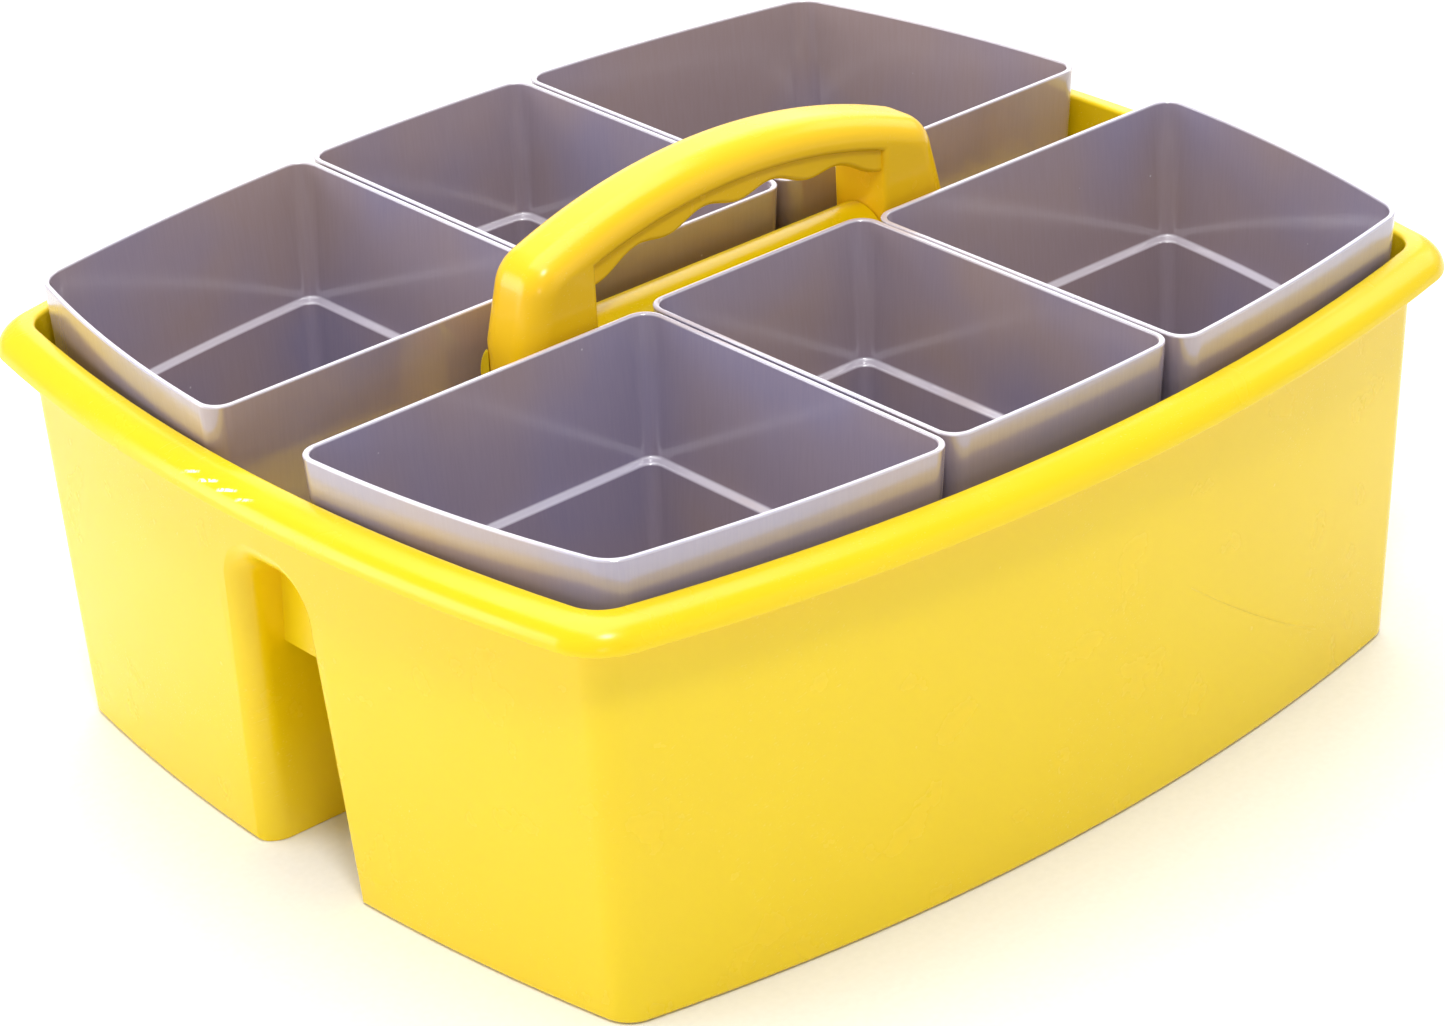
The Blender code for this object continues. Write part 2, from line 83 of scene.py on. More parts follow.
# Channel between the bins, the ridge over it, and the thin webs across it.
CHANNEL_HALF_TOP = 0.0125
CHANNEL_HALF_BASE = 0.0178
CHANNEL_CEILING = 0.0890
CHANNEL_CORNER = 0.0080
CHANNEL_FLARE = 0.0080
WEB_X = 0.1400
WEB_THICKNESS = 0.0020
WEB_BOTTOM = 0.0600
BIN_CORNER_LEAST = 0.0040

# Saddle bar that carries the handle.
SADDLE_HALF_LENGTH = 0.0750
SADDLE_HALF_WIDTH = 0.0105
SADDLE_TOP = 0.1245
SADDLE_SKIN = 0.0022
SADDLE_EDGE = 0.0012
CORE_HALF_LENGTH = 0.0460
SEAT_Z = 0.1120
SOCKET_BOTTOM = 0.0945

# Handle.
FOOT_INNER_X = 0.0507
FOOT_OUTER_X = 0.0753
FOOT_LEAN_Z = 0.1240
FOOT_LEAN = 0.255
SHOULDER_RADIUS = 0.0120
HANDLE_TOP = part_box("handle")[1].z
HANDLE_ARCH = 0.176
HANDLE_HALF_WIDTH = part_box("handle")[1].y
HANDLE_EDGE = 0.0075
FOOT_EDGE = 0.0016
GRIP_EDGE_Z = 0.1500
GRIP_ARCH = 0.165
GRIP_HALF_WIDTH = 0.0090
GRIP_DEPTH = 0.0054
GRIP_ROOT = 0.0030
GRIP_EDGE = 0.0016
GRIP_OVERRUN = 0.0020
FINGER_PITCH = 0.0240
FINGER_DEPTH = 0.0013
TONGUE_X = (0.0553, 0.0697)
TONGUE_HALF_WIDTH = 0.0057
TONGUE_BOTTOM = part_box("handle")[0].z
TONGUE_ROOT = 0.0040

# Cups: outer faces at the lip, the wall's slope, and the stacking ledge.
CUP_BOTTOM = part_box("front_left_cup")[0].z
CUP_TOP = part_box("front_left_cup")[1].z
CUP_WALL = 0.0015
CUP_INNER_Y = 0.0157
CUP_OUTER_Y = 0.1315
CUP_OUTER_Y_BOW = 0.629
CUP_END_X = 0.1540
CUP_END_BOW = 0.417
CUP_SPLIT_X = 0.0392
MIDDLE_CUP_HALF = 0.0388
CUP_CORNER = 0.0060
CUP_OUTER_CORNER = 0.0100
CUP_CORNER_LEAST = 0.0035
CUP_FOOT = 0.0025
CUP_LIP_EDGE = 0.0005
CUP_DRAFT = 0.0595
LEDGE_Z = 0.0890
LEDGE_WIDTH = 0.0022
LEDGE_FALL = 0.0003
LEDGE_EDGE = 0.0007

FIT_GAP = 0.0003
CUT_PAST = 0.0100
STRAIGHT_BOW = 50.0
SHARP_ANGLE = math.radians(32)
QUARTER = math.radians(90)
MERGE = 0.00002
MARK_SIZE = 0.001

# Each cup's place: column along X and row along Y.
CUPS = {
    "front_left_cup": (-1, -1),
    "front_middle_cup": (0, -1),
    "front_right_cup": (1, -1),
    "back_left_cup": (-1, 1),
    "back_middle_cup": (0, 1),
    "back_right_cup": (1, 1),
}

NORMALS = (Vector((1, 0)), Vector((0, 1)), Vector((-1, 0)), Vector((0, -1)))
UP = (0, 0, 1)
ALONG_X = (1, 0, 0)


# ---------------------------------------------------------------- drawing

def open_piece(name):
    """An empty mesh at the origin, in edit mode."""
    bpy.ops.object.select_all(action="DESELECT")
    bpy.ops.mesh.primitive_plane_add(size=MARK_SIZE)
    piece = bpy.context.object
    piece.name = name
    piece.data.name = name
    bpy.ops.object.mode_set(mode="EDIT")
    bpy.ops.mesh.select_mode(type="VERT")
    bpy.ops.mesh.delete(type="VERT")
    return piece


def close_piece(piece):
    if piece.vertex_groups:
        bpy.ops.object.vertex_group_remove(all=True)
    bpy.ops.mesh.select_all(action="SELECT")
    bpy.ops.mesh.normals_make_consistent(inside=False)
    bpy.ops.mesh.select_all(action="DESELECT")
    bpy.ops.object.mode_set(mode="OBJECT")
    return piece


def mark(place):
    """One point, ready to be swung or run into an outline."""
    bpy.ops.mesh.select_all(action="DESELECT")
    bpy.ops.mesh.primitive_plane_add(size=MARK_SIZE, location=place)
    bpy.ops.mesh.merge(type="CENTER")


def swing(centre, angle, steps, axis=UP):
    """Sweeps the picked point or face round an arc, by the right-hand rule."""
    bpy.ops.mesh.spin(steps=steps, angle=-angle, center=centre, axis=axis)


def run(step):
    """Sweeps the picked point or face along a straight line."""
    bpy.ops.mesh.extrude_region_move(TRANSFORM_OT_translate={"value": step})


def close_outline():
    """Joins the outline's two ends and keeps its points as a group, whose name it returns."""
    bpy.ops.mesh.select_linked()
    bpy.ops.mesh.remove_doubles(threshold=MERGE)
    bpy.ops.object.vertex_group_add()
    bpy.ops.object.vertex_group_assign()
    return bpy.context.object.vertex_groups.active.name


def pick_outlines(*names):
    bpy.ops.mesh.select_all(action="DESELECT")
    for name in names:
        bpy.ops.object.vertex_group_set_active(group=name)
        bpy.ops.object.vertex_group_select()


def pick_by(kind, wanted):
    """Selects the vertices or edges for which wanted(item) is true."""
    bpy.ops.mesh.select_mode(type="VERT" if kind == "verts" else "EDGE")
    bpy.ops.mesh.select_all(action="DESELECT")
    bm = bmesh.from_edit_mesh(bpy.context.object.data)
    for item in getattr(bm, kind):
        item.select = wanted(item)
    bm.select_flush_mode()
    bmesh.update_edit_mesh(bpy.context.object.data)


def bridge(first, second):
    pick_outlines(first, second)
    bpy.ops.mesh.bridge_edge_loops()


def cap(outline):
    pick_outlines(outline)
    bpy.ops.mesh.edge_face_add()


def skin(name, outlines):
    """Solid through outlines, capped at both ends."""
    piece = open_piece(name)
    rings = []
    for draw in outlines:
        rings.append(draw())
    for lower, upper in zip(rings, rings[1:]):
        bridge(lower, upper)
    cap(rings[0])
    cap(rings[-1])
    return close_piece(piece)


def block(name, low, high):
    """A plain square cutter or tongue between two corners."""
    low, high = Vector(low), Vector(high)
    bpy.ops.object.select_all(action="DESELECT")
    bpy.ops.mesh.primitive_cube_add(size=1, location=(low + high) / 2, scale=high - low)
    bpy.ops.object.transform_apply(location=True, rotation=True, scale=True)
    bpy.context.object.name = name
    return bpy.context.object


def boolean(target, tool, operation):
    """Cuts the target with the tool or welds the tool to it, and clears the tool away."""
    modifier = target.modifiers.new(tool.name, "BOOLEAN")
    modifier.operation = operation
    modifier.solver = "EXACT"
    modifier.object = tool
    bpy.ops.object.select_all(action="DESELECT")
    bpy.context.view_layer.objects.active = target
    bpy.ops.object.modifier_apply(modifier=modifier.name)
    bpy.data.objects.remove(tool)


def smooth(piece):
    """Smooth faces with crisp folds; large faces keep their own flat shading at a seam."""
    bpy.ops.object.select_all(action="DESELECT")
    piece.select_set(True)
    bpy.context.view_layer.objects.active = piece
    bpy.ops.object.shade_smooth_by_angle(angle=SHARP_ANGLE)
    modifier = piece.modifiers.new("even_shading", "WEIGHTED_NORMAL")
    modifier.keep_sharp = True
    bpy.ops.object.modifier_apply(modifier=modifier.name)


# ---------------------------------------------------------------- bowed outlines

def side(index, reach, bow):
    """Circle that carries one side of a bowed outline, as (centre, radius)."""
    return NORMALS[index] * (reach - bow), bow


def corner_centre(first, second, radius, outward):
    """Centre of the fillet that touches two side circles from inside."""
    (centre, bow), (next_centre, next_bow) = first, second
    gap = next_centre - centre
    reach, next_reach = bow - radius, next_bow - radius
    along = (reach**2 - next_reach**2 + gap.length_squared) / (2 * gap.length)
    off = math.sqrt(reach**2 - along**2)
    unit = gap.normalized()
    foot = centre + unit * along
    across = Vector((-unit.y, unit.x)) * off
    return max(foot + across, foot - across, key=lambda place: place @ outward)


def bearing(centre, point):
    return math.atan2(point.y - centre.y, point.x - centre.x)


def turn(start, end):
    return (end - start + math.pi) % (2 * math.pi) - math.pi


def bowed_outline(sides, radii, side_steps, corner_steps, z, shift=(0, 0)):
    """Draws four bowed sides (+X, +Y, -X, -Y) joined by fillets, anticlockwise."""
    corners = []
    for i in range(4):
        after = (i + 1) % 4
        outward = NORMALS[i] + NORMALS[after]
        corners.append(corner_centre(sides[i], sides[after], radii[i], outward))

    def at(place):
        return (place.x + shift[0], place.y + shift[1], z)

    centre, bow = sides[0]
    angle = bearing(centre, corners[-1])
    mark(at(centre + bow * Vector((math.cos(angle), math.sin(angle)))))
    for i in range(4):
        centre = sides[i][0]
        begin = bearing(centre, corners[i - 1])
        end = bearing(centre, corners[i])
        leave = bearing(sides[(i + 1) % 4][0], corners[i])
        swing(at(centre), turn(begin, end), side_steps[i])
        swing(at(corners[i]), turn(end, leave), corner_steps)
    return close_outline()


# ---------------------------------------------------------------- tub

TUB_SIDE_STEPS = (20, 24, 20, 24)
TUB_CORNER_STEPS = 12
BIN_LONG_STEPS = 24
BIN_RIDGE_STEPS = 4
BIN_END_STEPS = 14
LIP_UNDERSIDE = (math.radians(24), math.radians(85))
LIP_SHOULDER = QUARTER - math.radians(7)


def blend(low, high, share):
    return low + (high - low) * share


def tub_outline(half, bow, corner, z, inset=0.0):
    sides = [side(i, half[i % 2] - inset, bow[i % 2] - inset) for i in range(4)]
    return bowed_outline(sides, [corner - inset] * 4, TUB_SIDE_STEPS, TUB_CORNER_STEPS, z)


def wall_values(z):
    """Half sizes, bows and corner of the tub's outer wall at height z."""
    share = z / RIM_TOP
    half = [blend(BASE_HALF[i], WALL_TOP_HALF[i], share) for i in (0, 1)]
    bow = [blend(BASE_BOW[i], MOUTH_BOW[i], share) for i in (0, 1)]
    return half, bow, blend(BASE_CORNER, MOUTH_CORNER, share)


def wall_outline(z, inset=0.0):
    return tub_outline(*wall_values(z), z, inset)


def rim_outline(angle, skin_depth=0.0, drop=0.0):
    """Outline on the rim's rolled top: 0 is the crest and a quarter turn is the lip."""
    out = (RIM_HALF[0] - MOUTH_HALF[0] - skin_depth) * math.sin(angle)
    z = RIM_TOP - RIM_DROP + (RIM_DROP - skin_depth) * math.cos(angle) - drop
    half = [size + out for size in MOUTH_HALF]
    bow = [size + out for size in MOUTH_BOW]
    return tub_outline(half, bow, MOUTH_CORNER + LIP_CORNER_SHARE * out, z)


def fan(count, first=0.0, last=QUARTER):
    """Evenly spaced angles, both ends included."""
    return [blend(first, last, i / (count - 1)) for i in range(count)]


def tub_body():
    """Outer form: rounded foot, drafted wall, undercut rim, lip and rolled top."""
    outlines = []
    for angle in fan(5):
        inset = FLOOR_EDGE * (1 - math.sin(angle))
        z = FLOOR_EDGE * (1 - math.cos(angle))
        outlines.append(lambda z=z, inset=inset: wall_outline(z, inset))
    wall_end = RIM_TOP - WALL - RIM_UNDERCUT
    for share in (0.25, 0.5, 0.75, 0.9, 1.0):
        z = blend(FLOOR_EDGE, wall_end, share)
        outlines.append(lambda z=z: wall_outline(z))
    for angle in fan(8, *LIP_UNDERSIDE):
        outlines.append(lambda a=angle: rim_outline(a, WALL))
    outlines.append(lambda: rim_outline(QUARTER, WALL / 2))
    for angle in fan(5)[1:]:
        inset = LIP_EDGE * (1 - math.sin(angle))
        drop = -LIP_EDGE * (1 - math.cos(angle))
        outlines.append(lambda i=inset, d=drop: rim_outline(QUARTER, i, d))
    for angle in fan(18, LIP_SHOULDER, 0.0):
        outlines.append(lambda a=angle: rim_outline(a))
    return skin("tub_moulding", outlines)


def mouth_cutter():
    """Open top over both bins: coved along the ridge's ends, rounded at the rim's crest."""
    outlines = []
    ridge_top = CHANNEL_CEILING + WALL
    cove = CHANNEL_FLARE - WALL
    for angle in fan(9):
        z = ridge_top + cove * (1 - math.cos(angle))
        inset = WALL + cove * (1 - math.sin(angle))
        outlines.append(lambda z=z, inset=inset: wall_outline(z, inset))
    inner_half = WALL_TOP_HALF[0] - WALL
    crest = MOUTH_HALF[0] - inner_half
    for angle in fan(7):
        z = RIM_TOP - crest * (1 - math.sin(angle))
        inset = crest * math.cos(angle)
        outlines.append(lambda z=z, i=inset: tub_outline(MOUTH_HALF, MOUTH_BOW, MOUTH_CORNER, z, i))
    above = RIM_TOP + CUT_PAST
    outlines.append(lambda: tub_outline(MOUTH_HALF, MOUTH_BOW, MOUTH_CORNER, above))
    return skin("mouth_cutter", outlines)


def channel_half(z):
    return blend(CHANNEL_HALF_BASE, CHANNEL_HALF_TOP, z / CHANNEL_CEILING)


def bin_outline(row, z, inset=0.0, ridge_inset=0.0):
    """Inside of one bin: three bowed tub walls and the straight wall along the channel."""
    half, bow, corner = wall_values(z)
    wall_inset = inset + WALL
    sides = [side(i, half[i % 2] - wall_inset, bow[i % 2] - wall_inset) for i in range(4)]
    ridge = 1 if row < 0 else 3
    sides[ridge] = side(ridge, -(channel_half(z) + wall_inset - ridge_inset), STRAIGHT_BOW)
    outer = max(corner - wall_inset, BIN_CORNER_LEAST)
    inner = CHANNEL_FLARE - WALL
    radii = [inner, inner, outer, outer] if row < 0 else [outer, outer, inner, inner]
    lengthways = (BIN_RIDGE_STEPS, BIN_LONG_STEPS) if row < 0 else (BIN_LONG_STEPS, BIN_RIDGE_STEPS)
    steps = (BIN_END_STEPS, lengthways[0], BIN_END_STEPS, lengthways[1])
    return bowed_outline(sides, radii, steps, TUB_CORNER_STEPS, z)


def bin_cutter(row):
    """One bin, from its floor up over the rounded shoulder of the ridge."""
    outlines = []
    for angle in fan(5):
        inset = FLOOR_EDGE * (1 - math.sin(angle))
        z = WALL + FLOOR_EDGE * (1 - math.cos(angle))
        outlines.append(lambda z=z, inset=inset: bin_outline(row, z, inset))
    shoulder = CHANNEL_CEILING - CHANNEL_CORNER
    radius = CHANNEL_CORNER + WALL
    outlines.append(lambda: bin_outline(row, 0.5 * shoulder))
    for angle in fan(8):
        z = shoulder + radius * math.sin(angle)
        inset = radius * (1 - math.cos(angle))
        outlines.append(lambda z=z, inset=inset: bin_outline(row, z, 0.0, inset))
    above_cove = shoulder + radius + CHANNEL_FLARE
    outlines.append(lambda: bin_outline(row, above_cove, 0.0, radius))
    return skin("bin_cutter", outlines)


def arch_outline(x, spread, lean):
    """Section of the channel, square below and rounded above, leaning with the end wall."""
    shoulder = CHANNEL_CEILING - CHANNEL_CORNER
    radius = CHANNEL_CORNER + spread
    low = -CUT_PAST
    low_half = channel_half(low) + spread
    top_half = CHANNEL_HALF_TOP + spread
    inner = CHANNEL_HALF_TOP - CHANNEL_CORNER
    mark((x, low_half, low))
    run((0, top_half - low_half, shoulder - low))
    swing((x, inner, shoulder), QUARTER, 10, ALONG_X)
    run((0, -2 * inner, 0))
    swing((x, -inner, shoulder), QUARTER, 10, ALONG_X)
    run((0, top_half - low_half, low - shoulder))
    run((0, 2 * low_half, 0))
    ring = close_outline()
    bm = bmesh.from_edit_mesh(bpy.context.object.data)
    for vert in bm.verts:
        if vert.select:
            vert.co.x += lean * vert.co.z
    bmesh.update_edit_mesh(bpy.context.object.data)
    return ring


def channel_cutter():
    """The channel, its two mouths flared to round the edges into the end walls."""
    slope = (WALL_TOP_HALF[0] - BASE_HALF[0]) / RIM_TOP
    outlines = []
    for end in (-1, 1):
        stations = [(0.0, CHANNEL_FLARE, CUT_PAST)]
        for angle in fan(12, QUARTER, 0.0):
            back = CHANNEL_FLARE * (1 - math.sin(angle))
            stations.append((back, CHANNEL_FLARE * (1 - math.cos(angle)), 0.0))
        if end > 0:
            stations.reverse()
        for back, spread, beyond in stations:
            x = end * (BASE_HALF[0] + beyond - back)
            outlines.append(lambda x=x, s=spread, lean=end * slope: arch_outline(x, s, lean))
    return skin("channel_cutter", outlines)


def bar(name, half_length, half_width, bottom, top, end_radius):
    """Bar along X with a full-round top, its ends eased."""
    piece = open_piece(name)
    middle = top - half_width
    mark((-half_length, half_width, bottom))
    run((0, 0, middle - bottom))
    swing((-half_length, 0, middle), math.pi, 28, ALONG_X)
    run((0, 0, bottom - middle))
    cap(close_outline())
    run((2 * half_length, 0, 0))
    if end_radius:
        def rims(edge):
            ends = [vert.co for vert in edge.verts]
            level = abs(ends[0].x - ends[1].x) < MERGE
            return level and max(end.z for end in ends) > bottom + MERGE
        pick_by("edges", rims)
        bpy.ops.mesh.bevel(offset=end_radius, segments=5, affect="EDGES")
    return close_piece(piece)


def web(end):
    """Thin plate across the channel, a little wider at its foot."""
    foot_half = channel_half(WEB_BOTTOM) + WALL / 2
    top_half = channel_half(CHANNEL_CEILING) + WALL / 2
    low = (end * WEB_X - WEB_THICKNESS / 2, -foot_half, WEB_BOTTOM)
    high = (end * WEB_X + WEB_THICKNESS / 2, foot_half, CHANNEL_CEILING + WALL / 2)
    plate = block("web", low, high)
    bpy.ops.object.mode_set(mode="EDIT")
    pick_by("verts", lambda vert: vert.co.z > WEB_BOTTOM + WALL)
    bpy.ops.transform.resize(value=(1, top_half / foot_half, 1), center_override=(0, 0, high[2]))
    return close_piece(plate)


def seat_cutter(end):
    """Seat for one foot: square towards the hand gap, rounded like the foot at its outer end."""
    piece = open_piece("seat_cutter")
    radius = HANDLE_EDGE + FIT_GAP
    half = HANDLE_HALF_WIDTH + FIT_GAP
    inner = end * (FOOT_INNER_X - FIT_GAP)
    round_x = end * (FOOT_OUTER_X + FIT_GAP - radius)
    round_y = half - radius
    mark((inner, half, SEAT_Z))
    run((round_x - inner, 0, 0))
    swing((round_x, round_y, SEAT_Z), -end * QUARTER, 10)
    run((0, -2 * round_y, 0))
    swing((round_x, -round_y, SEAT_Z), -end * QUARTER, 10)
    run((inner - round_x, 0, 0))
    run((0, 2 * half, 0))
    cap(close_outline())
    run((0, 0, SADDLE_TOP + CUT_PAST - SEAT_Z))
    return close_piece(piece)


def make_tub():
    tub = tub_body()
    boolean(tub, mouth_cutter(), "DIFFERENCE")
    for row in (-1, 1):
        boolean(tub, bin_cutter(row), "DIFFERENCE")
    boolean(tub, channel_cutter(), "DIFFERENCE")
    for end in (-1, 1):
        boolean(tub, web(end), "UNION")
    bar_foot = CHANNEL_CEILING + WALL / 2
    saddle = bar("saddle", SADDLE_HALF_LENGTH, SADDLE_HALF_WIDTH, bar_foot, SADDLE_TOP, SADDLE_EDGE)
    boolean(tub, saddle, "UNION")
    core = bar("saddle_core", CORE_HALF_LENGTH, SADDLE_HALF_WIDTH - SADDLE_SKIN,
               CHANNEL_CEILING - WALL, SADDLE_TOP - SADDLE_SKIN, 0)
    boolean(tub, core, "DIFFERENCE")
    for end in (-1, 1):
        boolean(tub, seat_cutter(end), "DIFFERENCE")
        xs = sorted((end * (TONGUE_X[0] - FIT_GAP), end * (TONGUE_X[1] + FIT_GAP)))
        half = TONGUE_HALF_WIDTH + FIT_GAP
        socket = block("socket_cutter", (xs[0], -half, SOCKET_BOTTOM), (xs[1], half, SEAT_Z + WALL))
        boolean(tub, socket, "DIFFERENCE")
    smooth(tub)
    return tub


# ---------------------------------------------------------------- handle

SHOULDER_STEPS = 12
BACK_STEPS = 48
PALM_STEPS = 40
GROOVE_STEPS = 120


def arch_z(x, crown, radius):
    return crown - radius + math.sqrt(radius**2 - x**2)


def shoulder_places():
    """Centre of the shoulder fillet, and where it leaves the leaning foot end."""
    lean = math.atan(FOOT_LEAN)
    normal = Vector((math.cos(lean), math.sin(lean)))
    along = Vector((-normal.y, normal.x))
    start = Vector((FOOT_OUTER_X, FOOT_LEAN_Z)) - normal * SHOULDER_RADIUS
    offset = start - Vector((0, HANDLE_TOP - HANDLE_ARCH))
    reach = HANDLE_ARCH - SHOULDER_RADIUS
    part = offset @ along
    distance = -part + math.sqrt(part**2 - offset.length_squared + reach**2)
    centre = start + along * distance
    return centre, centre + normal * SHOULDER_RADIUS, lean


def handle_side():
    """Side view of the handle, drawn on the plane of its front face."""
    y = -HANDLE_HALF_WIDTH
    seat = SEAT_Z + FIT_GAP
    centre, leave, lean = shoulder_places()
    arch_centre = Vector((0, HANDLE_TOP - HANDLE_ARCH))
    rise = math.atan2(centre.y - arch_centre.y, centre.x)
    under = arch_z(FOOT_INNER_X, GRIP_EDGE_Z, GRIP_ARCH)
    under_half = math.asin(FOOT_INNER_X / GRIP_ARCH)
    down = (0, -1, 0)
    mark((FOOT_OUTER_X, y, seat))
    run((0, 0, FOOT_LEAN_Z - seat))
    run((leave.x - FOOT_OUTER_X, 0, leave.y - FOOT_LEAN_Z))
    swing((centre.x, y, centre.y), rise - lean, SHOULDER_STEPS, down)
    swing((0, y, arch_centre.y), 2 * (QUARTER - rise), BACK_STEPS, down)
    swing((-centre.x, y, centre.y), rise - lean, SHOULDER_STEPS, down)
    run((leave.x - FOOT_OUTER_X, 0, FOOT_LEAN_Z - leave.y))
    run((0, 0, seat - FOOT_LEAN_Z))
    run((FOOT_OUTER_X - FOOT_INNER_X, 0, 0))
    run((0, 0, under - seat))
    swing((0, y, GRIP_EDGE_Z - GRIP_ARCH), -2 * under_half, PALM_STEPS, down)
    run((0, 0, seat - under))
    return close_outline()


def follows_back(edge):
    """True on the long edges that follow the handle's outer outline above its seat."""
    ends = [vert.co for vert in edge.verts]
    if abs(ends[0].y - ends[1].y) > MERGE or max(end.z for end in ends) < SEAT_Z + 2 * FIT_GAP:
        return False
    outer = [abs(end.x) > FOOT_INNER_X + MERGE or end.z > GRIP_EDGE_Z + MERGE for end in ends]
    return all(outer)


def follows_palm(edge):
    """True on the long edges along the inside of the feet and the underside of the arch."""
    ends = [vert.co for vert in edge.verts]
    if abs(ends[0].y - ends[1].y) > MERGE or abs(abs(ends[0].y) - HANDLE_HALF_WIDTH) > MERGE:
        return False
    if max(end.z for end in ends) < SEAT_Z + 2 * FIT_GAP:
        return False
    inner = [abs(abs(end.x) - FOOT_INNER_X) < MERGE
             or abs(end.z - arch_z(end.x, GRIP_EDGE_Z, GRIP_ARCH)) < MERGE for end in ends]
    return all(inner)


def grip_strip():
    """Finger grip under the arch, a row of shallow grooves along its lower face."""
    piece = open_piece("grip_strip")
    y = -GRIP_HALF_WIDTH
    end_x = FOOT_INNER_X + GRIP_OVERRUN

    def low_z(x):
        wave = FINGER_DEPTH * math.cos(2 * math.pi * x / FINGER_PITCH)
        return arch_z(x, GRIP_EDGE_Z, GRIP_ARCH) - GRIP_DEPTH - wave

    root = GRIP_EDGE_Z + GRIP_ROOT
    xs = [blend(end_x, -end_x, i / GROOVE_STEPS) for i in range(GROOVE_STEPS + 1)]
    mark((end_x, y, low_z(end_x)))
    for x, after in zip(xs, xs[1:]):
        run((after - x, 0, low_z(after) - low_z(x)))
    end_z = arch_z(end_x, root, GRIP_ARCH)
    run((0, 0, end_z - low_z(-end_x)))
    half = math.asin(end_x / GRIP_ARCH)
    swing((0, y, root - GRIP_ARCH), 2 * half, 24, (0, 1, 0))
    run((0, 0, low_z(end_x) - end_z))
    cap(close_outline())
    run((0, 2 * GRIP_HALF_WIDTH, 0))

    def grooved(edge):
        ends = [vert.co for vert in edge.verts]
        level = abs(ends[0].y - ends[1].y) < MERGE
        return level and all(end.z < low_z(end.x) + MERGE for end in ends)

    pick_by("edges", grooved)
    bpy.ops.mesh.bevel(offset=GRIP_EDGE, segments=6, affect="EDGES")
    return close_piece(piece)


def make_handle():
    handle = open_piece("handle_moulding")
    cap(handle_side())
    run((0, 2 * HANDLE_HALF_WIDTH, 0))
    pick_by("edges", follows_back)
    bpy.ops.mesh.bevel(offset=HANDLE_EDGE, segments=12, affect="EDGES")
    pick_by("edges", follows_palm)
    bpy.ops.mesh.bevel(offset=FOOT_EDGE, segments=5, affect="EDGES")
    close_piece(handle)
    boolean(handle, grip_strip(), "UNION")
    for end in (-1, 1):
        xs = sorted((end * TONGUE_X[0], end * TONGUE_X[1]))
        tongue = block("tongue", (xs[0], -TONGUE_HALF_WIDTH, TONGUE_BOTTOM),
                       (xs[1], TONGUE_HALF_WIDTH, SEAT_Z + TONGUE_ROOT))
        boolean(handle, tongue, "UNION")
    smooth(handle)
    return handle


# ---------------------------------------------------------------- cups

CUP_END_STEPS = 14
CUP_OUTER_STEPS = 10
CUP_STRAIGHT_STEPS = 2
CUP_CORNER_STEPS = 9


def settled(name, column, row):
    """How far a loose cup has slid from the middle of its place, along X and Y."""
    low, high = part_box(name)
    inner_y = low.y if row > 0 else high.y
    if column == 0:
        return (low.x + high.x) / 2, inner_y - row * CUP_INNER_Y
    split_x = low.x if column > 0 else high.x
    return split_x - column * CUP_SPLIT_X, inner_y - row * CUP_INNER_Y


def cup_outline(column, row, shift, z, inset):
    """Outline of a cup at height z, drawn in by `inset` from its drafted outer face."""
    inset += CUP_DRAFT * (CUP_TOP - z)
    outer = side(1 if row > 0 else 3, CUP_OUTER_Y - inset, CUP_OUTER_Y_BOW - inset)
    inner = side(3 if row > 0 else 1, -(CUP_INNER_Y + inset), STRAIGHT_BOW)
    if column == 0:
        right = side(0, MIDDLE_CUP_HALF - inset, STRAIGHT_BOW)
        left = side(2, MIDDLE_CUP_HALF - inset, STRAIGHT_BOW)
        x_steps = (CUP_STRAIGHT_STEPS, CUP_STRAIGHT_STEPS)
    else:
        end = side(0 if column > 0 else 2, CUP_END_X - inset, CUP_END_BOW - inset)
        split = side(2 if column > 0 else 0, -(CUP_SPLIT_X + inset), STRAIGHT_BOW)
        right, left = (end, split) if column > 0 else (split, end)
        x_steps = (CUP_END_STEPS, CUP_STRAIGHT_STEPS)[::column]
    sides = [right, outer, left, inner] if row > 0 else [right, inner, left, outer]
    y_steps = (CUP_OUTER_STEPS, CUP_STRAIGHT_STEPS)[::row]
    steps = (x_steps[0], y_steps[0], x_steps[1], y_steps[1])
    radii = [max(CUP_CORNER - inset / 2, CUP_CORNER_LEAST)] * 4
    if column:
        outer_corner = {(1, 1): 0, (-1, 1): 1, (-1, -1): 2, (1, -1): 3}[column, row]
        radii[outer_corner] = max(CUP_OUTER_CORNER - inset / 2, CUP_CORNER_LEAST)
    return bowed_outline(sides, radii, steps, CUP_CORNER_STEPS, z, shift)


